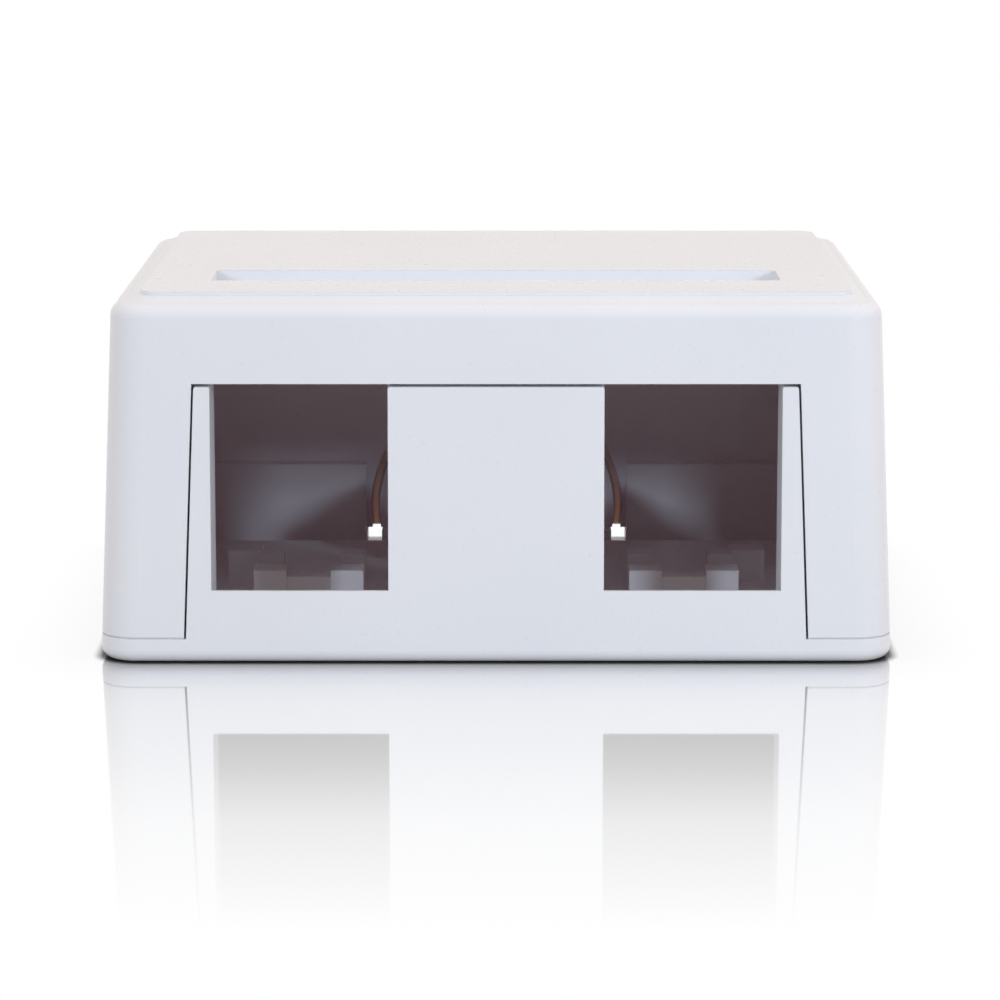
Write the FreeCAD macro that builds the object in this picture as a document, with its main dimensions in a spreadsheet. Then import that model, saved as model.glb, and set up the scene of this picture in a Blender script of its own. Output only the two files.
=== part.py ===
import FreeCAD, Part
import math
import os
import Sketcher

# Two-port surface mount jack box, in millimetres.
# Two mouldings in white ABS: a base with its floor, upstand, front panel and port frames,
# and a drafted cover that drops over it and leaves the front panel showing in its window.
# The origin is at the centre of the footprint, +Z up, and the ports face -Y.

DIMENSIONS = {
    # overall form
    "overallWidth": 67.4,       # along X, at the foot
    "overallDepth": 53.0,       # along Y, at the foot
    "overallHeight": 31.2,      # to the raised panel on the roof
    "draftAngle": 2.25,          # lean of every outer wall, in degrees
    "cornerRadius": 3.2,        # upright corners, at the foot
    "flangeHeight": 2.05,        # base plate under the cover, and the floor
    "footRadius": 1.0,          # rounded lower edge of the base plate
    # cover
    "wallThickness": 1.8,
    "roofThickness": 2.4,
    "innerRadius": 1.2,         # upright corners inside the cover
    "shoulderRadius": 1.2,      # where the walls roll over to the roof
    "borderRise": 0.5,          # sloped border round the raised panel
    "borderWidth": 1.2,
    "panelRise": 0.3,           # step from the border up to the raised panel
    "panelRadius": 1.8,
    "seamChamfer": 0.15,        # fine shadow line where the cover meets the base
    # label recess in the raised panel
    "labelLength": 49.0,
    "labelWidth": 7.0,
    "labelDepth": 1.0,
    "labelSetback": 11.4,       # from the foot of the front wall
    # window in the cover's front wall, filled by the base's front panel
    "windowWidth": 53.0,        # at the foot; its sides lean by the draft angle
    "windowTop": 23.75,
    "fitGap": 0.18,             # clearance between cover and base, all round
    "windowTopGap": 0.25,       # above the front panel
    # front panel and keystone ports
    "lipGap": 0.29,             # between the cover's leaning wall and the lip behind it
    "panelWall": 2.0,           # panel thickness between the ports
    "portWidth": 14.95,
    "portSpacing": 33.15,        # between the port axes
    "portSill": 6.2,
    "portTop": 23.45,            # underside of the bar that a jack's latch hooks over
    "sillEdge": 0.4,            # flat left on each sill, in front of its slope
    "sillSlope": 42.0,          # fall of the sill towards the inside, in degrees
    "portCorner": 0.3,          # rounded upper corners of the frame
    "panelCorner": 0.2,         # upper corners of the panel
    "frameDepth": 6.2,          # front wall to the back of the port frames
    "frameWall": 1.5,
    "frameTop": 25.0,
    "lipDepth": 1.2,            # backing lip behind the window's edges
    "lipWidth": 1.2,
    "lipTop": 25.8,
    # upstand that locates the cover, open at the back for the cable
    "upstandTop": 8.6,
    "upstandWall": 1.6,
    "cableGap": 25.2,
    "tongueLength": 10.0,       # upright tongue in each side wall
    "tongueTop": 16.0,
    "ribGap": 0.4,              # from a tongue to the cover's guide ribs
    "ribWidth": 1.2,
    "ribDepth": 1.2,
    "ribLift": 0.8,             # ribs start this far above the upstand
    # posts on the floor that hold the back of each jack and its wires
    "postHeight": 2.85,
    "frontPostWidth": 2.9,
    "frontPostPitch": 6.8,      # between the two posts of a row
    "frontPostSetback": 15.4,
    "frontPostDepth": 3.2,
    "rearPostWidth": 2.1,
    "rearPostPitch": 7.2,
    "rearPostSetback": 23.0,
    "rearPostDepth": 2.7,
    "stopWidth": 3.05,          # corner block outside the rear posts
    "stopSetback": 24.6,
    "stopDepth": 2.8,
    "railHeight": 2.2,          # rail between the front posts
    "railInset": 0.5,           # from the posts' front and rear faces
    # trough in the floor along the rear, in front of the upstand
    "troughSetback": 44.2,
    "troughWidth": 58.0,
    "troughDepth": 1.0,
    # saddle for a cable tie, on the centre line behind the panel
    "saddleSetback": 26.0,
    "saddleLength": 11.0,
    "saddleWidth": 8.4,
    "saddleTop": 10.5,
    "saddleGroove": 3.0,        # radius of the groove that the cable lies in
    "tieSlotWidth": 3.2,
    "tieSlotHeight": 2.4,
    "tieSlotFoot": 2.2,         # floor to the underside of the slot
    # scored breakout in the cover's rear wall, and the two reliefs at its feet
    "breakoutRadius": 11.8,
    "breakoutCentre": 4.0,
    "scoreWidth": 0.8,
    "scoreWeb": 0.4,            # wall left at the bottom of the score
    "reliefWidth": 1.4,
    "reliefDepth": 1.3,
    "reliefLength": 7.0,
    # fixing holes through the floor
    "screwHole": 4.2,
    "frontScrewSetback": 11.0,
    "rearScrewSetback": 41.0,
    "screwSink": 1.0,
    # how far a cut runs past the material it goes through
    "cutPast": 0.5,
}

doc = FreeCAD.newDocument("JackBox")
sheet = doc.addObject("Spreadsheet::Sheet", "Dims")
for row, (alias, size) in enumerate(DIMENSIONS.items(), start=1):
    sheet.set(f"A{row}", alias)
    sheet.set(f"B{row}", str(size))
    sheet.setAlias(f"B{row}", alias)
doc.recompute()

# Expressions that several features share.
LEAN = "tan(Dims.draftAngle)"
SHOULDER = "(Dims.overallHeight - Dims.panelRise - Dims.borderRise)"
FRONT = "(-Dims.overallDepth / 2)"
UPSTAND_INSET = f"(Dims.upstandTop * {LEAN} + Dims.wallThickness + Dims.fitGap)"
PANEL_TOP = "(Dims.windowTop - Dims.windowTopGap)"
PANEL_DEPTH = f"(Dims.wallThickness + Dims.lipTop * {LEAN} + Dims.lipGap)"
PORT_OUTER = "(Dims.portSpacing / 2 + Dims.portWidth / 2)"
PORT_INNER = "(Dims.portSpacing / 2 - Dims.portWidth / 2)"
TONGUE_FACE = f"(Dims.overallWidth / 2 - Dims.tongueTop * {LEAN} - Dims.wallThickness - Dims.fitGap)"


def newBody(name):
    body = doc.addObject("PartDesign::Body", name)
    body.Label = name
    return body


def newSketch(body, name, role, offset):
    """A sketch on one of the body's own origin planes, lifted along its normal."""
    sketch = body.newObject("Sketcher::SketchObject", name)
    plane = next(item for item in body.Origin.OriginFeatures if item.Role == role)
    sketch.AttachmentSupport = (plane, [""])
    sketch.MapMode = "FlatFace"
    sketch.setExpression(".AttachmentOffset.Base.z", offset)
    return sketch


def fixPoint(sketch, edge, vertex, across, up):
    """Tie a sketch point to the sheet by its two coordinates."""
    for kind, expression in (("DistanceX", across), ("DistanceY", up)):
        index = sketch.addConstraint(Sketcher.Constraint(kind, -1, 1, edge, vertex, 1.0))
        sketch.setExpression(f"Constraints[{index}]", expression)


def fixCoordinate(sketch, kind, edge, vertex, expression):
    index = sketch.addConstraint(Sketcher.Constraint(kind, -1, 1, edge, vertex, 1.0))
    sketch.setExpression(f"Constraints[{index}]", expression)


def fixRadius(sketch, edge, radius, expression):
    index = sketch.addConstraint(Sketcher.Constraint("Radius", edge, radius))
    sketch.setExpression(f"Constraints[{index}]", expression)


def polygon(body, name, role, offset, points):
    """A closed outline of straight edges through points given as expressions."""
    sketch = newSketch(body, name, role, offset)
    count = len(points)
    start = [FreeCAD.Vector(10, 0, 0), FreeCAD.Vector(20, 0, 0), FreeCAD.Vector(20, 10, 0)]
    start += [FreeCAD.Vector(10 - step, 10, 0) for step in range(count - 3)]
    for index in range(count):
        sketch.addGeometry(Part.LineSegment(start[index], start[(index + 1) % count]))
    for index in range(count):
        sketch.addConstraint(Sketcher.Constraint("Coincident", index, 2, (index + 1) % count, 1))
    for index, (across, up) in enumerate(points):
        fixPoint(sketch, index, 1, across, up)
    return sketch


def rectangle(body, name, role, offset, left, right, low, high):
    return polygon(body, name, role, offset, [(left, low), (right, low), (right, high), (left, high)])


def roundedOutline(body, name, height, halfX, halfY, radius):
    """A plan outline centred on the origin, with four equal round corners."""
    sketch = newSketch(body, name, "XY_Plane", height)
    spanX, spanY, bend = 30.0, 25.0, 2.0
    corners = [(spanX, -spanY), (spanX, spanY), (-spanX, spanY), (-spanX, -spanY)]
    sides = [
        ((-spanX + bend, -spanY), (spanX - bend, -spanY)),
        ((spanX, -spanY + bend), (spanX, spanY - bend)),
        ((spanX - bend, spanY), (-spanX + bend, spanY)),
        ((-spanX, spanY - bend), (-spanX, -spanY + bend)),
    ]
    for begin, end in sides:
        sketch.addGeometry(Part.LineSegment(FreeCAD.Vector(*begin, 0), FreeCAD.Vector(*end, 0)))
    for index, (x, y) in enumerate(corners):
        centre = FreeCAD.Vector(x - bend if x > 0 else x + bend, y - bend if y > 0 else y + bend, 0)
        circle = Part.Circle(centre, FreeCAD.Vector(0, 0, 1), bend)
        sketch.addGeometry(Part.ArcOfCircle(circle, (index - 1) * math.pi / 2, index * math.pi / 2))
    for side in range(4):
        corner = 4 + side
        sketch.addConstraint(Sketcher.Constraint("Tangent", side, 2, corner, 1))
        sketch.addConstraint(Sketcher.Constraint("Tangent", corner, 2, (side + 1) % 4, 1))
    for side, kind in enumerate(("Horizontal", "Vertical", "Horizontal", "Vertical")):
        sketch.addConstraint(Sketcher.Constraint(kind, side))
    for corner in (5, 6, 7):
        sketch.addConstraint(Sketcher.Constraint("Equal", 4, corner))
    fixRadius(sketch, 4, bend, radius)
    fixCoordinate(sketch, "DistanceX", 1, 1, halfX)
    fixCoordinate(sketch, "DistanceX", 3, 1, f"-({halfX})")
    fixCoordinate(sketch, "DistanceY", 2, 1, halfY)
    fixCoordinate(sketch, "DistanceY", 0, 1, f"-({halfY})")
    return sketch


def check(body, feature, adds, before):
    """Recompute, and make sure that the feature added or removed material."""
    doc.recompute()
    volume = feature.Shape.Volume
    if not feature.Shape.isValid() or (volume > before) != adds or abs(volume - before) < 1e-3:
        raise RuntimeError(f"{body.Label}: {feature.Name} went from {before:.2f} to {volume:.2f}")
    return feature


def volumeOf(body):
    return body.Shape.Volume if body.Tip else 0.0


def loft(body, name, profiles, adds):
    before = volumeOf(body)
    kind = "PartDesign::AdditiveLoft" if adds else "PartDesign::SubtractiveLoft"
    feature = body.newObject(kind, name)
    feature.Profile = profiles[0]
    feature.Sections = profiles[1:]
    feature.Ruled = True
    return check(body, feature, adds, before)


def extrude(body, name, sketch, length, adds, reverse=False):
    before = volumeOf(body)
    feature = body.newObject("PartDesign::Pad" if adds else "PartDesign::Pocket", name)
    feature.Profile = sketch
    feature.setExpression("Length", length)
    feature.Reversed = reverse
    return check(body, feature, adds, before)


def upright(body, name, left, right, front, back, foot, height, adds=True):
    """A straight block on the floor plan, from its foot upwards, added or cut away."""
    sketch = rectangle(body, f"{name}Plan", "XY_Plane", foot, left, right, front, back)
    return extrude(body, name, sketch, height, adds, reverse=not adds)


def throughFront(body, name, points, setback, depth, adds=False):
    """An outline drawn on the front wall, and carried back from it along +Y."""
    sketch = polygon(body, f"{name}Face", "XZ_Plane", f"-({FRONT} + {setback})", points)
    return extrude(body, name, sketch, depth, adds, reverse=adds)


def edgesWhere(shape, test):
    return [f"Edge{index}" for index, edge in enumerate(shape.Edges, start=1) if test(edge)]


def finishEdges(body, kind, name, test, size, prop):
    """A fillet or chamfer on the edges that a test picks out."""
    before = volumeOf(body)
    base = body.Tip
    feature = body.newObject(kind, name)
    feature.Base = (base, edgesWhere(base.Shape, test))
    feature.setExpression(prop, size)
    doc.recompute()
    if not feature.Shape.isValid() or abs(feature.Shape.Volume - before) < 1e-4:
        raise RuntimeError(f"{body.Label}: {name} did nothing")
    return feature


def fillet(body, name, test, radius):
    return finishEdges(body, "PartDesign::Fillet", name, test, radius, "Radius")


def chamfer(body, name, test, size):
    return finishEdges(body, "PartDesign::Chamfer", name, test, size, "Size")


def flatAt(edge, height):
    """True for an edge that lies level at this height."""
    box = edge.BoundBox
    return abs(box.ZMin - height) < 1e-4 and abs(box.ZMax - height) < 1e-4


def halfWidth(height, inset="0"):
    return f"Dims.overallWidth / 2 - {height} * {LEAN} - {inset}"


def halfDepth(height, inset="0"):
    return f"Dims.overallDepth / 2 - {height} * {LEAN} - {inset}"


def footprint(body, name, height, inset="0"):
    """The square-cornered plan of the box's foot, or of its hollow with an inset."""
    halfX = f"(Dims.overallWidth / 2 - {inset})"
    halfY = f"(Dims.overallDepth / 2 - {inset})"
    return rectangle(body, name, "XY_Plane", height, f"-{halfX}", halfX, f"-{halfY}", halfY)


def facesWhere(shape, test):
    return [f"Face{index}" for index, face in enumerate(shape.Faces, start=1) if test(face)]


def lean(body, name, test, isLevel=None):
    """Lean side faces inwards by the draft angle, turning them about the level of the box's foot,
    or about a level face of their own."""
    base = body.Tip
    feature = body.newObject("PartDesign::Draft", name)
    feature.Base = (base, facesWhere(base.Shape, test))
    if isLevel:
        feature.NeutralPlane = (base, facesWhere(base.Shape, isLevel))
    else:
        ground = next(item for item in body.Origin.OriginFeatures if item.Role == "XY_Plane")
        feature.NeutralPlane = (ground, [""])
    feature.setExpression("Angle", "Dims.draftAngle")
    feature.Reversed = bool(isLevel)
    doc.recompute()
    if feature.Shape.isNull() or not feature.Shape.isValid():
        raise RuntimeError(f"{body.Label}: {name} failed")
    return check(body, feature, False, base.Shape.Volume)


def isSide(face):
    return face.BoundBox.ZLength > DIMENSIONS["flangeHeight"] / 2


def isInside(face):
    """True for a tall face of the cover's hollow, which lies a wall inside its footprint."""
    box = face.BoundBox
    if box.ZLength < DIMENSIONS["overallHeight"] / 2:
        return False
    slack = DIMENSIONS["wallThickness"] / 2
    reachX = max(abs(box.XMin), abs(box.XMax)) < DIMENSIONS["overallWidth"] / 2 - slack
    reachY = max(abs(box.YMin), abs(box.YMax)) < DIMENSIONS["overallDepth"] / 2 - slack
    return reachX and reachY


def isCeiling(face):
    """The flat top of the cover's hollow."""
    box = face.BoundBox
    height = DIMENSIONS["overallHeight"] - DIMENSIONS["roofThickness"]
    return abs(box.ZMin - height) < 1e-4 and box.ZLength < 1e-4


def isUpright(edge):
    return edge.BoundBox.ZLength > DIMENSIONS["flangeHeight"] / 2


def isHollowCorner(edge):
    """The four sharp corners inside the cover, which lie a wall inside its footprint."""
    foot = min((vertex.Point for vertex in edge.Vertexes), key=lambda point: point.z)
    slack = DIMENSIONS["wallThickness"] / 2
    insideX = abs(foot.x) < DIMENSIONS["overallWidth"] / 2 - slack
    insideY = abs(foot.y) < DIMENSIONS["overallDepth"] / 2 - slack
    return isUpright(edge) and insideX and insideY and edge.BoundBox.ZLength > DIMENSIONS["windowTop"]


def makeBase():
    body = newBody("base")
    plate = "Dims.flangeHeight"
    extrude(body, "Plate", footprint(body, "PlatePlan", "0"), plate, True)
    lean(body, "PlateDraft", isSide)
    fillet(body, "PlateCorners", isUpright, "Dims.cornerRadius")
    fillet(body, "PlateFootEdge", lambda edge: flatAt(edge, 0.0), "Dims.footRadius")

    # The upstand runs inside the cover's walls; the front is left to the port frames.
    rise = f"Dims.upstandTop - {plate}"
    outer = roundedOutline(body, "UpstandOuter", plate, halfWidth("0", UPSTAND_INSET),
                           halfDepth("0", UPSTAND_INSET), "Dims.innerRadius")
    extrude(body, "Upstand", outer, rise, True)
    hollow = f"({UPSTAND_INSET} + Dims.upstandWall)"
    inner = roundedOutline(body, "UpstandInner", plate, halfWidth("0", hollow), halfDepth("0", hollow),
                           "Dims.innerRadius / 2")
    extrude(body, "UpstandHollow", inner, rise, False, reverse=True)
    lipHalf = "(Dims.windowWidth / 2 + Dims.lipWidth)"
    upright(body, "UpstandFront", f"-{lipHalf}", lipHalf, FRONT, f"{FRONT} + Dims.frameDepth",
            plate, rise, adds=False)
    upright(body, "CableGap", "-Dims.cableGap / 2", "Dims.cableGap / 2", "0", "Dims.overallDepth / 2",
            plate, rise, adds=False)

    # Front panel: flush with the cover's leaning front wall, and leaning in at its sides.
    section = polygon(body, "PanelSection", "YZ_Plane", "-Dims.windowWidth / 2",
                      [(f"{FRONT} + {plate} * {LEAN}", plate), (f"{FRONT} + {PANEL_DEPTH}", plate),
                       (f"{FRONT} + {PANEL_DEPTH}", PANEL_TOP),
                       (f"{FRONT} + {PANEL_TOP} * {LEAN}", PANEL_TOP)])
    extrude(body, "FrontPanel", section, "Dims.windowWidth", True)
    for side, sign in (("Left", "-1"), ("Right", "1")):
        low = f"{sign} * (Dims.windowWidth / 2 - {plate} * {LEAN} - Dims.fitGap)"
        high = f"{sign} * (Dims.windowWidth / 2 - {PANEL_TOP} * {LEAN} - Dims.fitGap)"
        past = f"{sign} * (Dims.windowWidth / 2 + Dims.cutPast)"
        throughFront(body, f"PanelEnd{side}", [(low, plate), (past, plate), (past, PANEL_TOP),
                                               (high, PANEL_TOP)], "0", PANEL_DEPTH)

    # Backing lip behind the window's edges, and a frame round each port.
    throughFront(body, "Lip", [(f"-{lipHalf}", plate), (lipHalf, plate), (lipHalf, "Dims.lipTop"),
                               (f"-{lipHalf}", "Dims.lipTop")], PANEL_DEPTH, "Dims.lipDepth", adds=True)
    for side, sign in (("Left", "-1"), ("Right", "1")):
        axis = f"{sign} * Dims.portSpacing / 2"
        wide = "(Dims.portWidth / 2 + Dims.frameWall)"
        throughFront(body, f"Frame{side}", [(f"{axis} - {wide}", plate), (f"{axis} + {wide}", plate),
                                            (f"{axis} + {wide}", "Dims.frameTop"),
                                            (f"{axis} - {wide}", "Dims.frameTop")],
                     PANEL_DEPTH, f"Dims.frameDepth - {PANEL_DEPTH}", adds=True)
    for side, sign in (("Left", "-1"), ("Right", "1")):
        axis = f"{sign} * Dims.portSpacing / 2"
        inner, outer = f"{sign} * {PORT_INNER}", f"{sign} * {PORT_OUTER}"
        throughFront(body, f"Throat{side}", [(inner, plate), (outer, plate), (outer, "Dims.portTop"),
                                             (inner, "Dims.portTop")],
                     PANEL_DEPTH, "Dims.frameDepth")
        throughFront(body, f"Notch{side}", [(inner, "Dims.portSill"), (outer, "Dims.portSill"),
                                            (outer, "Dims.windowTop"), (inner, "Dims.windowTop")],
                     "0", PANEL_DEPTH)
        slopeSill(body, side, f"{axis} - Dims.portWidth / 2", "Dims.portWidth")

    # The panel is cored out from behind, between the two frames, up to its own top.
    core = f"({PORT_INNER} - Dims.frameWall)"
    throughFront(body, "PanelCore", [(f"-{core}", plate), (core, plate), (core, "Dims.lipTop"),
                                     (f"-{core}", "Dims.lipTop")], "Dims.panelWall", "Dims.frameDepth")

    fillet(body, "FrameCorners", isThroatCorner, "Dims.portCorner")
    fillet(body, "PanelCorners", isPanelCorner, "Dims.panelCorner")

    # Floor posts, mirrored left to right: two rows of two, a rail and a corner block.
    for side, sign in (("Left", "-1"), ("Right", "1")):
        for row in ("front", "rear"):
            near = f"{FRONT} + Dims.{row}PostSetback"
            half = f"Dims.{row}PostWidth / 2"
            for place, step in (("Inner", "-1"), ("Outer", "1")):
                middle = f"{sign} * (Dims.portSpacing / 2 + {step} * Dims.{row}PostPitch / 2)"
                upright(body, f"{row}Post{side}{place}", f"{middle} - {half}", f"{middle} + {half}",
                        near, f"{near} + Dims.{row}PostDepth", plate, "Dims.postHeight")
        upright(body, f"Rail{side}", f"{sign} * (Dims.portSpacing / 2 - Dims.frontPostPitch / 2)",
                f"{sign} * (Dims.portSpacing / 2 + Dims.frontPostPitch / 2)",
                f"{FRONT} + Dims.frontPostSetback + Dims.railInset",
                f"{FRONT} + Dims.frontPostSetback + Dims.frontPostDepth - Dims.railInset",
                plate, "Dims.railHeight")
        edge = "(Dims.portSpacing / 2 + Dims.rearPostPitch / 2 + Dims.rearPostWidth / 2)"
        upright(body, f"Stop{side}", f"{sign} * {edge}", f"{sign} * ({edge} + Dims.stopWidth)",
                f"{FRONT} + Dims.stopSetback", f"{FRONT} + Dims.stopSetback + Dims.stopDepth",
                plate, "Dims.postHeight")
        tongueInner = f"{sign} * ({TONGUE_FACE} - Dims.upstandWall)"
        upright(body, f"Tongue{side}", tongueInner, f"{sign} * {TONGUE_FACE}", "-Dims.tongueLength / 2",
                "Dims.tongueLength / 2", plate, f"Dims.tongueTop - {plate}")
        # A shallow relief in the plate at each foot of the breakout.
        feet = f"{sign} * Dims.breakoutRadius"
        upright(body, f"Relief{side}", f"{feet} - Dims.reliefWidth / 2", f"{feet} + Dims.reliefWidth / 2",
                "Dims.overallDepth / 2 - Dims.reliefLength", "Dims.overallDepth / 2",
                f"{plate} - Dims.reliefDepth", "Dims.reliefDepth", adds=False)

    upright(body, "Trough", "-Dims.troughWidth / 2", "Dims.troughWidth / 2",
            f"{FRONT} + Dims.troughSetback", f"-{FRONT} - {hollow}", f"{plate} - Dims.troughDepth",
            "Dims.troughDepth", adds=False)
    makeSaddle(body, plate)
    drillHoles(body, plate)
    return body


def slopeSill(body, side, start, length):
    """Behind a narrow flat, the sill falls towards the inside, for the hook under a jack."""
    flat = f"({FRONT} + Dims.portSill * {LEAN} + Dims.sillEdge)"
    back = f"({FRONT} + {PANEL_DEPTH})"
    fall = f"({back} - {flat}) * tan(Dims.sillSlope)"
    wedge = polygon(body, f"Sill{side}Section", "YZ_Plane", start,
                    [(flat, "Dims.portSill"), (back, f"Dims.portSill - {fall}"), (back, "Dims.portSill")])
    extrude(body, f"Sill{side}", wedge, length, False, reverse=True)


def makeSaddle(body, plate):
    """A block that the cable lies on, grooved along its top, with a slot through for the tie."""
    front = f"{FRONT} + Dims.saddleSetback"
    upright(body, "Saddle", "-Dims.saddleWidth / 2", "Dims.saddleWidth / 2", front,
            f"{front} + Dims.saddleLength", plate, f"Dims.saddleTop - {plate}")
    groove = newSketch(body, "SaddleGrooveFace", "XZ_Plane", f"-({front})")
    groove.addGeometry(Part.Circle(FreeCAD.Vector(0, 12, 0), FreeCAD.Vector(0, 0, 1), 3.0))
    groove.addConstraint(Sketcher.Constraint("PointOnObject", 0, 3, -2))
    fixCoordinate(groove, "DistanceY", 0, 3, "Dims.saddleTop + Dims.saddleGroove / 3")
    fixRadius(groove, 0, 3.0, "Dims.saddleGroove")
    extrude(body, "SaddleGroove", groove, "Dims.saddleLength", False)
    middle = f"({front} + Dims.saddleLength / 2)"
    foot = f"({plate} + Dims.tieSlotFoot)"
    slot = rectangle(body, "TieSlotSection", "YZ_Plane", "-Dims.saddleWidth / 2",
                     f"{middle} - Dims.tieSlotWidth / 2", f"{middle} + Dims.tieSlotWidth / 2",
                     foot, f"{foot} + Dims.tieSlotHeight")
    extrude(body, "TieSlot", slot, "Dims.saddleWidth", False, reverse=True)


def isThroatCorner(edge):
    """The two upper corners of each port frame, which run front to back."""
    box = edge.BoundBox
    level = flatAt(edge, DIMENSIONS["portTop"])
    return level and box.XLength < 1e-4 and box.YLength > 0.5


def isPanelCorner(edge):
    """The upper corners of the panel's middle and its two side posts."""
    box = edge.BoundBox
    top = DIMENSIONS["windowTop"] - DIMENSIONS["windowTopGap"]
    return flatAt(edge, top) and box.XLength < 1e-4 and box.YLength > 0.5


def drillHoles(body, plate):
    """Two screw holes on the centre line, sunk from above."""
    sketch = newSketch(body, "ScrewPlan", "XY_Plane", plate)
    for index, setback in enumerate(("Dims.frontScrewSetback", "Dims.rearScrewSetback")):
        centre = FreeCAD.Vector(0, 10.0 * (2 * index - 1), 0)
        sketch.addGeometry(Part.Circle(centre, FreeCAD.Vector(0, 0, 1), 2.0))
        sketch.addConstraint(Sketcher.Constraint("PointOnObject", index, 3, -2))
        fixCoordinate(sketch, "DistanceY", index, 3, f"{FRONT} + {setback}")
        fixRadius(sketch, index, 2.0, "Dims.screwHole / 2")
    extrude(body, "ScrewHoles", sketch, plate, False)
    chamfer(body, "ScrewSinks", isScrewRim, "Dims.screwSink")


def isScrewRim(edge):
    """The upper rim of a screw hole."""
    if not flatAt(edge, DIMENSIONS["flangeHeight"]) or not isinstance(edge.Curve, Part.Circle):
        return False
    return abs(edge.Curve.Radius - DIMENSIONS["screwHole"] / 2) < 1e-4


def makeCover():
    body = newBody("cover")
    rim = "Dims.flangeHeight"
    extrude(body, "Shell", footprint(body, "ShellPlan", rim), f"{SHOULDER} - {rim}", True)
    lean(body, "ShellDraft", isSide)
    fillet(body, "ShellCorners", isUpright, "Dims.cornerRadius")
    fillet(body, "Shoulder", isShoulder, "Dims.shoulderRadius")

    # The roof: a sloped border, then a small step up to the raised panel.
    raised = f"({SHOULDER} + Dims.borderRise)"
    inset = "Dims.shoulderRadius"
    panelInset = "(Dims.shoulderRadius + Dims.borderWidth)"
    borderFoot = roundedOutline(body, "BorderFoot", SHOULDER, halfWidth(SHOULDER, inset),
                                halfDepth(SHOULDER, inset), "Dims.cornerRadius - Dims.shoulderRadius")
    borderHead = roundedOutline(body, "BorderHead", raised, halfWidth(SHOULDER, panelInset),
                                halfDepth(SHOULDER, panelInset), "Dims.panelRadius")
    loft(body, "Border", [borderFoot, borderHead], True)
    panel = roundedOutline(body, "PanelOutline", raised, halfWidth(SHOULDER, panelInset),
                           halfDepth(SHOULDER, panelInset), "Dims.panelRadius")
    extrude(body, "RaisedPanel", panel, "Dims.panelRise", True)

    # Hollow from below, with walls that lean as the outside does.
    ceiling = "(Dims.overallHeight - Dims.roofThickness)"
    wall = "Dims.wallThickness"
    hollow = footprint(body, "HollowPlan", rim, f"({wall} + {ceiling} * {LEAN})")
    extrude(body, "Hollow", hollow, f"{ceiling} - {rim}", False, reverse=True)
    lean(body, "HollowDraft", isInside, isLevel=isCeiling)
    fillet(body, "HollowCorners", isHollowCorner, "Dims.innerRadius")

    # Window in the front wall, open at the foot.
    low = f"(Dims.windowWidth / 2 - {rim} * {LEAN})"
    high = f"(Dims.windowWidth / 2 - Dims.windowTop * {LEAN})"
    throughFront(body, "Window", [(f"-{low}", rim), (low, rim), (high, "Dims.windowTop"),
                                  (f"-{high}", "Dims.windowTop")], "0",
                 f"{wall} + Dims.windowTop * {LEAN} + Dims.cutPast")

    # Label recess.
    half = "Dims.labelLength / 2"
    label = rectangle(body, "LabelPlan", "XY_Plane", "Dims.overallHeight", f"-{half}", half,
                      f"{FRONT} + Dims.labelSetback", f"{FRONT} + Dims.labelSetback + Dims.labelWidth")
    extrude(body, "LabelRecess", label, "Dims.labelDepth", False)

    makeBreakout(body)

    # Guide ribs each side of the base's tongues.
    for side, sign in (("Left", "-1"), ("Right", "1")):
        for place, step in (("Front", "-1"), ("Rear", "1")):
            near = f"{step} * (Dims.tongueLength / 2 + Dims.ribGap)"
            far = f"{step} * (Dims.tongueLength / 2 + Dims.ribGap + Dims.ribWidth)"
            face = halfWidth(ceiling, f"({wall} + Dims.ribDepth)")
            start = "(Dims.upstandTop + Dims.ribLift)"
            upright(body, f"Rib{side}{place}", f"{sign} * ({face})",
                    f"{sign} * ({halfWidth(ceiling, wall + ' / 2')})",
                    near, far, start, f"{ceiling} - {start}")

    chamfer(body, "SeamEdge", isSeam, "Dims.seamChamfer")
    return body


def isShoulder(edge):
    """The edge between the leaning walls and the top."""
    return flatAt(edge, DIMENSIONS["overallHeight"] - DIMENSIONS["panelRise"] - DIMENSIONS["borderRise"])


def isSeam(edge):
    """An edge that runs along the outside of the cover's rim, not across it."""
    halfX = DIMENSIONS["overallWidth"] / 2 - DIMENSIONS["wallThickness"] / 2
    halfY = DIMENSIONS["overallDepth"] / 2 - DIMENSIONS["wallThickness"] / 2
    corners = [vertex.Point for vertex in edge.Vertexes]
    onOutside = all(abs(point.x) > halfX or abs(point.y) > halfY for point in corners)
    return flatAt(edge, DIMENSIONS["flangeHeight"]) and onOutside


def makeBreakout(body):
    """An arch scored into the inside of the rear wall, on a plane that leans with it."""
    sketch = newSketch(body, "BreakoutFace", "XZ_Plane", "-(Dims.overallDepth / 2 - Dims.scoreWeb)")
    for index, sign in enumerate(("+", "-")):
        circle = Part.Circle(FreeCAD.Vector(0, 4, 0), FreeCAD.Vector(0, 0, 1), 12.0 - index)
        sketch.addGeometry(circle)
        sketch.addConstraint(Sketcher.Constraint("PointOnObject", index, 3, -2))
        fixCoordinate(sketch, "DistanceY", index, 3, "Dims.breakoutCentre")
        fixRadius(sketch, index, 12.0 - index, f"Dims.breakoutRadius {sign} Dims.scoreWidth / 2")
    tilt = FreeCAD.Rotation(FreeCAD.Vector(1, 0, 0), 1.0)
    sketch.AttachmentOffset = FreeCAD.Placement(sketch.AttachmentOffset.Base, tilt)
    sketch.setExpression(".AttachmentOffset.Rotation.Angle", "Dims.draftAngle")
    extrude(body, "BreakoutScore", sketch, "Dims.wallThickness", False, reverse=True)


pieces = [makeBase(), makeCover()]
doc.recompute()

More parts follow.
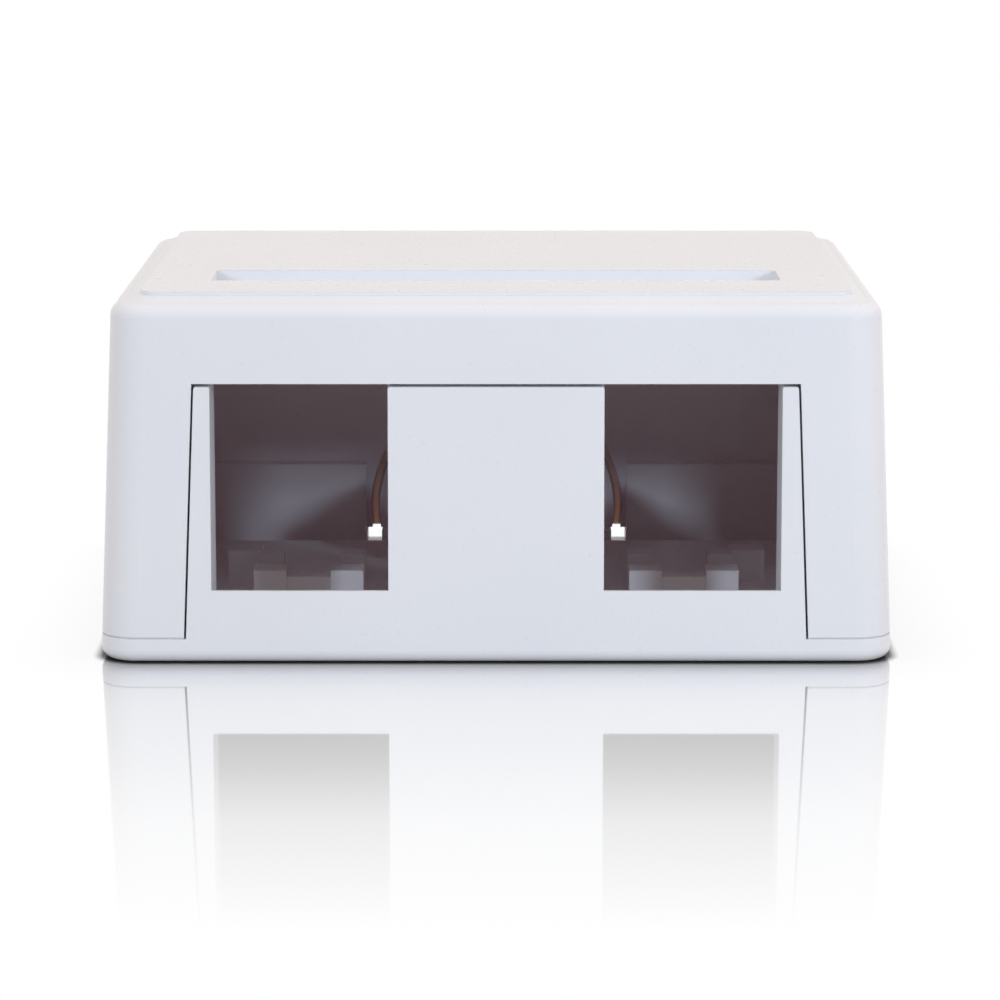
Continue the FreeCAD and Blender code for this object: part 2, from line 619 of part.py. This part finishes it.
for item in doc.Objects:
    if "Invalid" in item.State or "Error" in item.State:
        raise RuntimeError(f"{item.Name} failed: {item.State}")
for piece in pieces:
    shape = piece.Shape
    if shape.isNull() or not shape.isValid() or len(shape.Solids) != 1:
        raise RuntimeError(f"{piece.Label} isn't one sound solid")

os.makedirs("parts", exist_ok=True)
for piece in pieces:
    piece.Shape.exportStep(os.path.join("parts", f"{piece.Label}.step"))
    box = piece.Shape.BoundBox
    print(f"{piece.Label}: {box.XLength:.2f} x {box.YLength:.2f} x {box.ZLength:.2f} mm, "
          f"{piece.Shape.Volume:.0f} mm3, {len(piece.Shape.Faces)} faces")
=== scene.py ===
import math

import bpy
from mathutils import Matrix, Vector


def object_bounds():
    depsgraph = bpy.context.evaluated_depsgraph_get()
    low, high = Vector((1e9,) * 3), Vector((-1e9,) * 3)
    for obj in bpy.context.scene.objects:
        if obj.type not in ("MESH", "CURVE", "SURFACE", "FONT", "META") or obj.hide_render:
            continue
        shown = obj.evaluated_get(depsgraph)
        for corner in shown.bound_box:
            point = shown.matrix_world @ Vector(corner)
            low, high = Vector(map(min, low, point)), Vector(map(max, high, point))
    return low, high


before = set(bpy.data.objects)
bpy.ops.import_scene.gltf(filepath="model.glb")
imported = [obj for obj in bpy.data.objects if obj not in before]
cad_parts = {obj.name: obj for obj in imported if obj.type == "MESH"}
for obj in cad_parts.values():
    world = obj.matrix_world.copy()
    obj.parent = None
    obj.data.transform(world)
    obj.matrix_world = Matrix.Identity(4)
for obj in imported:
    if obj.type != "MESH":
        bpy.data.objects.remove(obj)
cadLow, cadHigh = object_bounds()
mm = 0.001  # the scene is in metres, and the settings below are in millimetres
wallLean = math.tan(math.radians(2.25))  # draft of the moulded walls
print("frame loaded:", ", ".join(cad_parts))


# colours and nodes

def colourOf(hexValue):
    # sRGB hex to the linear values that the shaders take
    channels = [int(hexValue[i:i + 2], 16) / 255 for i in (1, 3, 5)]
    linear = [c / 12.92 if c <= 0.04045 else ((c + 0.055) / 1.055) ** 2.4 for c in channels]
    return (*linear, 1.0)


def addNode(tree, kind, settings=None, inputs=None, links=None):
    node = tree.nodes.new(kind)
    for name, value in (settings or {}).items():
        setattr(node, name, value)
    for name, value in (inputs or {}).items():
        node.inputs[name].default_value = value
    for name, source in (links or {}).items():
        tree.links.new(source, node.inputs[name])
    return node


def newMaterial(name):
    material = bpy.data.materials.new(name)
    material.use_nodes = True
    material.node_tree.nodes.clear()
    return material, material.node_tree


# white ABS, injection moulded

absPlastic = {
    "white": "#E9EAEC",
    "whiteInThickParts": "#E3E4E8",   # flow lines leave it a shade cooler here and there
    "flowMm": 14.0,
    "grainMm": 0.32,                  # spark-eroded texture of the mould
    "grainDepthMm": 0.0005,
    "sinkMm": 9.0,                    # slow waviness of a moulded wall
    "sinkDepthMm": 0.012,
    "roughness": (0.27, 0.36),
    "grainSpan": (0.3, 0.7),          # levels of the grain that the roughness runs between
    "edgeMm": 0.10,                   # a moulded edge is never knife sharp
    "ior": 1.53,
    "inside": "#DEDADD",              # painted shade: the inside faces get this darker, pinker white to stand in for the shade inside the box
    "insideInMm": (6.4, 1.2, 1.2, 2.0),  # begins this far behind the front, sides, back and roof
    "insideSoftMm": 0.3,
    "paintedWallGlow": "#FFBBC6",         # painted glow on the inside faces, standing in for daylight that thin white ABS lets through, reddened
    "paintedWallGlowLevel": 0.0108,
}

# painted glow along the scored arch in the cover's back wall
scoredArch = {
    "radiusMm": 11.8,
    "centreMm": 4.0,
    "widthMm": 0.25,
    "skinMm": 0.25,                   # the outer face of the wall stays plain
    "reachMm": 1.0,
    "softMm": 0.18,
    "depthSoftMm": 0.045,
    "fadesMm": (2.0, 11.0),           # painted glow brightest at the feet of the arch
    "amber": "#A8603C",
    "strength": 0.26,
}


def mouldedAbs(name, facts, scored=None):
    # satin plastic: a fine even grain, soft highlights, and edges that catch a thin line of light
    material, tree = newMaterial(name)
    place = addNode(tree, "ShaderNodeTexCoord").outputs["Object"]
    flow = addNode(tree, "ShaderNodeTexNoise",
                   inputs={"Scale": 1 / (facts["flowMm"] * mm), "Detail": 3.0, "Roughness": 0.5},
                   links={"Vector": place})
    colour = addNode(tree, "ShaderNodeMix", {"data_type": "RGBA"},
                     {"A": colourOf(facts["white"]), "B": colourOf(facts["whiteInThickParts"])},
                     {"Factor": flow.outputs["Fac"]})
    grain = addNode(tree, "ShaderNodeTexNoise",
                    inputs={"Scale": 1 / (facts["grainMm"] * mm), "Detail": 2.0, "Roughness": 0.6},
                    links={"Vector": place})
    sink = addNode(tree, "ShaderNodeTexNoise",
                   inputs={"Scale": 1 / (facts["sinkMm"] * mm), "Detail": 1.0},
                   links={"Vector": place})
    low, high = facts["roughness"]
    fine, coarse = facts["grainSpan"]
    rough = addNode(tree, "ShaderNodeMapRange",
                    inputs={"From Min": fine, "From Max": coarse, "To Min": low, "To Max": high},
                    links={"Value": grain.outputs["Fac"]})
    edge = addNode(tree, "ShaderNodeBevel", {"samples": 4}, {"Radius": facts["edgeMm"] * mm})
    wavy = addNode(tree, "ShaderNodeBump", inputs={"Distance": facts["sinkDepthMm"] * mm},
                   links={"Height": sink.outputs["Fac"], "Normal": edge.outputs["Normal"]})
    bumpy = addNode(tree, "ShaderNodeBump", inputs={"Distance": facts["grainDepthMm"] * mm},
                    links={"Height": grain.outputs["Fac"], "Normal": wavy.outputs["Normal"]})
    # painted shade and painted glow: the faces inside the box are toned darker and given a faint
    # glow
    shadeAndGlowInside = insideMask(tree, place, facts)
    colourWithPaintedShade = addNode(tree, "ShaderNodeMix", {"data_type": "RGBA"}, {"B": colourOf(facts["inside"])},
                    {"Factor": shadeAndGlowInside, "A": colour.outputs["Result"]})
    # painted glow: a faint reddened emission on the faces inside the box
    level = addNode(tree, "ShaderNodeMath", {"operation": "MULTIPLY"},
                    {1: facts["paintedWallGlowLevel"]}, {0: shadeAndGlowInside})
    glow = tintedLight(tree, facts["paintedWallGlow"], level.outputs["Value"])
    # painted glow along the scored arch, emitted by the cover's surface
    if scored:
        arch = tintedLight(tree, scored["amber"], paintedGlowOnScore(tree, place, scored))
        total = addNode(tree, "ShaderNodeVectorMath", {"operation": "ADD"},
                        links={0: glow, 1: arch})
        glow = total.outputs["Vector"]
    plastic = addNode(tree, "ShaderNodeBsdfPrincipled",
                      inputs={"IOR": facts["ior"], "Emission Strength": 1.0},
                      links={"Base Color": colourWithPaintedShade.outputs["Result"],
                             "Roughness": rough.outputs["Result"],
                             "Normal": bumpy.outputs["Normal"], "Emission Color": glow})
    addNode(tree, "ShaderNodeOutputMaterial", links={"Surface": plastic.outputs["BSDF"]})
    return material


def insideMask(tree, place, facts):
    # 1 on the faces that lie deeper than these depths behind the outside of the box
    front, side, back, roof = (depth * mm for depth in facts["insideInMm"])
    soft = facts["insideSoftMm"] * mm
    split = addNode(tree, "ShaderNodeSeparateXYZ", links={"Vector": place})
    across = addNode(tree, "ShaderNodeMath", {"operation": "ABSOLUTE"},
                     links={0: split.outputs["X"]})
    tests = []
    for source, sign, limit in ((across.outputs["Value"], -1, cadHigh.x - side),
                                (split.outputs["Y"], -1, cadHigh.y - back),
                                (split.outputs["Y"], 1, -cadLow.y - front)):
        # sign * place + limit - wallLean * height, in metres behind the leaning face
        flat = addNode(tree, "ShaderNodeMath", {"operation": "MULTIPLY_ADD"},
                       {1: sign, 2: limit}, {0: source})
        deep = addNode(tree, "ShaderNodeMath", {"operation": "MULTIPLY_ADD"}, {1: -wallLean},
                       {0: split.outputs["Z"], 2: flat.outputs["Value"]})
        tests.append(deep.outputs["Value"])
    roofed = addNode(tree, "ShaderNodeMath", {"operation": "MULTIPLY_ADD"},
                     {1: -1, 2: cadHigh.z - roof}, {0: split.outputs["Z"]})
    floored = addNode(tree, "ShaderNodeMath", {"operation": "SUBTRACT"}, {1: soft},
                      {0: split.outputs["Z"]})
    least = roofed.outputs["Value"]
    for test in (*tests, floored.outputs["Value"]):
        nearer = addNode(tree, "ShaderNodeMath", {"operation": "MINIMUM"},
                         links={0: least, 1: test})
        least = nearer.outputs["Value"]
    return addNode(tree, "ShaderNodeMapRange", inputs={"From Min": 0.0, "From Max": soft},
                   links={"Value": least}).outputs["Result"]


def within(tree, source, low, high, soft):
    # 1 between two levels of a value, falling off softly outside them
    rise = addNode(tree, "ShaderNodeMapRange", inputs={"From Min": low - soft, "From Max": low},
                   links={"Value": source})
    fall = addNode(tree, "ShaderNodeMapRange", inputs={"From Min": high, "From Max": high + soft,
                                                       "To Min": 1.0, "To Max": 0.0},
                   links={"Value": source})
    return addNode(tree, "ShaderNodeMath", {"operation": "MULTIPLY"},
                   links={0: rise.outputs["Result"], 1: fall.outputs["Result"]}).outputs["Value"]


def tintedLight(tree, colour, level):
    return addNode(tree, "ShaderNodeVectorMath", {"operation": "SCALE"}, {0: colourOf(colour)[:3]},
                   {"Scale": level}).outputs["Vector"]


def paintedGlowOnScore(tree, place, facts):
    # painted glow: an amber line along the scored arch stands in for daylight coming through the
    # thin web left at its bottom
    split = addNode(tree, "ShaderNodeSeparateXYZ", links={"Vector": place})
    up = addNode(tree, "ShaderNodeMath", {"operation": "SUBTRACT"}, {1: facts["centreMm"] * mm},
                 {0: split.outputs["Z"]})
    flat = addNode(tree, "ShaderNodeCombineXYZ",
                   links={"X": split.outputs["X"], "Y": up.outputs["Value"]})
    radius = addNode(tree, "ShaderNodeVectorMath", {"operation": "LENGTH"},
                     links={0: flat.outputs["Vector"]})
    leaning = addNode(tree, "ShaderNodeMath", {"operation": "MULTIPLY_ADD"}, {1: wallLean},
                      {0: split.outputs["Z"], 2: split.outputs["Y"]})
    half, soft = facts["widthMm"] * mm / 2, facts["softMm"] * mm
    middle = facts["radiusMm"] * mm
    ring = within(tree, radius.outputs["Value"], middle - half, middle + half, soft)
    outside = cadHigh.y - facts["skinMm"] * mm
    depth = within(tree, leaning.outputs["Value"], outside - facts["reachMm"] * mm, outside,
                   facts["depthSoftMm"] * mm)
    both = addNode(tree, "ShaderNodeMath", {"operation": "MULTIPLY"}, links={0: ring, 1: depth})
    low, high = facts["fadesMm"]
    foot = addNode(tree, "ShaderNodeMapRange",
                   inputs={"From Min": low * mm, "From Max": high * mm,
                           "To Min": facts["strength"], "To Max": 0.0},
                   links={"Value": split.outputs["Z"]})
    return addNode(tree, "ShaderNodeMath", {"operation": "MULTIPLY"},
                   links={0: both.outputs["Value"], 1: foot.outputs["Result"]}).outputs["Value"]


def finish(node, material):
    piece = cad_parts[node]
    piece.data.materials.clear()
    piece.data.materials.append(material)


finish("base", mouldedAbs("whiteAbsBase", absPlastic))
finish("cover", mouldedAbs("whiteAbsCover", absPlastic, scoredArch))
print("plastic ready")


# floor of polished white acrylic: it mirrors the box close by, and the mirror image fades away

acrylicFloor = {
    "size": 4.0,                      # metres
    "white": "#C2BDB5",
    "roughness": 0.035,
    "fadeMm": 80.0,                   # from the box's foot to where the mirror image is gone
    "contactMm": 1.1,                 # dark line where the box's foot meets the floor
    "contactLevel": 0.12,
    "veilMm": 9.0,                    # faint shade around it
    "veilLevel": 0.93,
    "darkBelow": 0.5,                 # share of open sky at which the two shades are full
    "contactClearAbove": 0.95,        # and at which each is gone
    "veilClearAbove": 1.0,
    "fade": [(0.0, 1.0), (0.05, 0.95), (0.12, 0.66), (0.19, 0.53), (0.44, 0.36), (0.65, 0.16),
             (0.85, 0.07), (1.0, 0.0)],
}


def makeFloor(facts, high):
    bpy.ops.mesh.primitive_plane_add(size=facts["size"], location=(0, 0, 0))
    floor = bpy.context.object
    floor.name = "floor"
    material, tree = newMaterial("polishedAcrylicFloor")
    place = addNode(tree, "ShaderNodeTexCoord").outputs["Object"]
    split = addNode(tree, "ShaderNodeSeparateXYZ", links={"Vector": place})
    away = []
    for axis, half in (("X", high.x), ("Y", high.y)):
        size = addNode(tree, "ShaderNodeMath", {"operation": "ABSOLUTE"},
                       links={0: split.outputs[axis]})
        away.append(addNode(tree, "ShaderNodeMath", {"operation": "SUBTRACT"}, {1: half},
                            {0: size.outputs["Value"]}))
    apart = addNode(tree, "ShaderNodeMath", {"operation": "MAXIMUM"},
                    links={0: away[0].outputs["Value"], 1: away[1].outputs["Value"]})
    share = addNode(tree, "ShaderNodeMath", {"operation": "DIVIDE", "use_clamp": True},
                    {1: facts["fadeMm"] * mm}, {0: apart.outputs["Value"]})
    ramp = addNode(tree, "ShaderNodeValToRGB", links={"Fac": share.outputs["Value"]})
    stops = ramp.color_ramp.elements
    while len(stops) < len(facts["fade"]):
        stops.new(0.5)
    for stop, (position, level) in zip(stops, facts["fade"]):
        stop.position = position
        stop.color = (level, level, level, 1)
    # the box's own shadow on the floor: a dark line along its foot and a faint veil around it
    contact = addNode(tree, "ShaderNodeAmbientOcclusion", {"samples": 8},
                      {"Distance": facts["contactMm"] * mm})
    veil = addNode(tree, "ShaderNodeAmbientOcclusion", {"samples": 8},
                   {"Distance": facts["veilMm"] * mm})
    dark = addNode(tree, "ShaderNodeMapRange",
                   inputs={"From Min": facts["darkBelow"], "From Max": facts["contactClearAbove"],
                           "To Min": facts["contactLevel"]}, links={"Value": contact.outputs["AO"]})
    faint = addNode(tree, "ShaderNodeMapRange",
                    inputs={"From Min": facts["darkBelow"], "From Max": facts["veilClearAbove"],
                            "To Min": facts["veilLevel"]}, links={"Value": veil.outputs["AO"]})
    shade = addNode(tree, "ShaderNodeMath", {"operation": "MULTIPLY"},
                    links={0: dark.outputs["Result"], 1: faint.outputs["Result"]})
    mirror = addNode(tree, "ShaderNodeBsdfGlossy", inputs={"Roughness": facts["roughness"]},
                     links={"Color": shade.outputs["Value"]})
    white = addNode(tree, "ShaderNodeEmission", inputs={"Strength": 1.0},
                    links={"Color": shade.outputs["Value"]})
    seen = addNode(tree, "ShaderNodeMixShader",
                   links={0: ramp.outputs["Color"], 1: white.outputs["Emission"],
                          2: mirror.outputs["BSDF"]})
    matt = addNode(tree, "ShaderNodeBsdfDiffuse", inputs={"Color": colourOf(facts["white"])})
    ray = addNode(tree, "ShaderNodeLightPath")
    direct = addNode(tree, "ShaderNodeMath", {"operation": "MAXIMUM"},
                     links={0: ray.outputs["Is Camera Ray"], 1: ray.outputs["Is Glossy Ray"]})
    shown = addNode(tree, "ShaderNodeMixShader",
                    links={0: direct.outputs["Value"], 1: matt.outputs["BSDF"],
                           2: seen.outputs["Shader"]})
    addNode(tree, "ShaderNodeOutputMaterial", links={"Surface": shown.outputs["Shader"]})
    floor.data.materials.append(material)


makeFloor(acrylicFloor, cadHigh)
print("floor ready")


# studio light

studio = {
    "dome": 1.1,                      # level of the white tent overhead
    "low": 0.09,                      # level of the room near the horizon, in front and behind
    "lowLeft": 0.6,                   # and to the sides
    "lowRight": 1.35,
    "domeFromDegrees": 24,
    "domeToDegrees": 56,
    "sideFrom": 0.45,                 # sideways share of a direction where the side light begins
    "sideTo": 0.95,                   # and where it is full
    "domeColour": "#FFF2E5",
    "lowColour": "#F6ECF2",
}

softboxes = {
    "above": 17.5,                    # degrees over the horizon
    "spread": (0.08, 0.11),           # width and height as shares of the distance
    "colour": "#D0E2F6",
    "right": (36.5, 380, 0.46),       # degrees from straight ahead, distance in mm and watts
    "left": (33, 1100, 4.2),
}


def makeWorld(facts):
    # white to the eye and in every reflection, while the light itself comes mostly from overhead
    world = bpy.data.worlds.new("studio")
    bpy.context.scene.world = world
    world.use_nodes = True
    tree = world.node_tree
    tree.nodes.clear()
    direction = addNode(tree, "ShaderNodeTexCoord").outputs["Generated"]
    split = addNode(tree, "ShaderNodeSeparateXYZ", links={"Vector": direction})
    share = addNode(tree, "ShaderNodeMapRange", {"interpolation_type": "SMOOTHSTEP"},
                    {"From Min": math.sin(math.radians(facts["domeFromDegrees"])),
                     "From Max": math.sin(math.radians(facts["domeToDegrees"]))},
                    {"Value": split.outputs["Z"]})
    dome = addNode(tree, "ShaderNodeBackground",
                   inputs={"Color": colourOf(facts["domeColour"]), "Strength": facts["dome"]})
    right = addNode(tree, "ShaderNodeMapRange", {"interpolation_type": "SMOOTHSTEP"},
                    {"From Min": facts["sideFrom"], "From Max": facts["sideTo"],
                     "To Min": facts["low"], "To Max": facts["lowRight"]},
                    {"Value": split.outputs["X"]})
    left = addNode(tree, "ShaderNodeMapRange", {"interpolation_type": "SMOOTHSTEP"},
                   {"From Min": -facts["sideFrom"], "From Max": -facts["sideTo"],
                    "To Min": facts["low"], "To Max": facts["lowLeft"]},
                   {"Value": split.outputs["X"]})
    sides = addNode(tree, "ShaderNodeMath", {"operation": "MAXIMUM"},
                    links={0: right.outputs["Result"], 1: left.outputs["Result"]})
    low = addNode(tree, "ShaderNodeBackground", inputs={"Color": colourOf(facts["lowColour"])},
                  links={"Strength": sides.outputs["Value"]})
    light = addNode(tree, "ShaderNodeMixShader",
                    links={0: share.outputs["Result"], 1: low.outputs["Background"],
                           2: dome.outputs["Background"]})
    ray = addNode(tree, "ShaderNodeLightPath")
    seen = addNode(tree, "ShaderNodeMath", {"operation": "MAXIMUM"},
                   links={0: ray.outputs["Is Camera Ray"], 1: ray.outputs["Is Glossy Ray"]})
    through = addNode(tree, "ShaderNodeMath", {"operation": "MAXIMUM"},
                      links={0: seen.outputs["Value"], 1: ray.outputs["Is Transmission Ray"]})
    white = addNode(tree, "ShaderNodeBackground", inputs={"Color": (1, 1, 1, 1), "Strength": 1.0})
    both = addNode(tree, "ShaderNodeMixShader",
                   links={0: through.outputs["Value"], 1: light.outputs["Shader"],
                          2: white.outputs["Background"]})
    addNode(tree, "ShaderNodeOutputWorld", links={"Surface": both.outputs["Shader"]})


def addSoftbox(name, facts, side):
    aside, distance, watts = facts[name]
    lamp = bpy.data.lights.new(name + "Softbox", "AREA")
    lamp.shape = "RECTANGLE"
    lamp.size, lamp.size_y = (share * distance * mm for share in facts["spread"])
    lamp.energy = watts
    lamp.color = colourOf(facts["colour"])[:3]
    box = bpy.data.objects.new(lamp.name, lamp)
    bpy.context.collection.objects.link(box)
    around, above = math.radians(aside), math.radians(facts["above"])
    away = Vector((side * math.sin(around) * math.cos(above), -math.cos(around) * math.cos(above),
                   math.sin(above)))
    box.location = away * distance * mm
    box.rotation_euler = away.to_track_quat("Z", "Y").to_euler()
    box.visible_glossy = False        # soft light only, with no burnt-out sheen on the lid


makeWorld(studio)
addSoftbox("right", softboxes, 1)
addSoftbox("left", softboxes, -1)
print("lights ready")


# camera

camera = {
    "ahead": 325.75,                  # in front of the box's foot, in mm as the next two
    "height": 73.6,
    "aside": 0.33,
    "downDegrees": 10.36,
    "lens": 141.84,
    "sensor": 36.0,
    "clip": (0.01, 20),               # metres
}


def makeCamera(facts, low):
    data = bpy.data.cameras.new("camera")
    data.lens = facts["lens"]
    data.sensor_width = facts["sensor"]
    data.clip_start, data.clip_end = facts["clip"]
    eye = bpy.data.objects.new("camera", data)
    bpy.context.collection.objects.link(eye)
    eye.location = (facts["aside"] * mm, low.y - facts["ahead"] * mm, facts["height"] * mm)
    eye.rotation_euler = (math.radians(90 - facts["downDegrees"]), 0, 0)
    bpy.context.scene.camera = eye


makeCamera(camera, cadLow)
bpy.context.scene.view_settings.view_transform = "Standard"
print("camera ready")
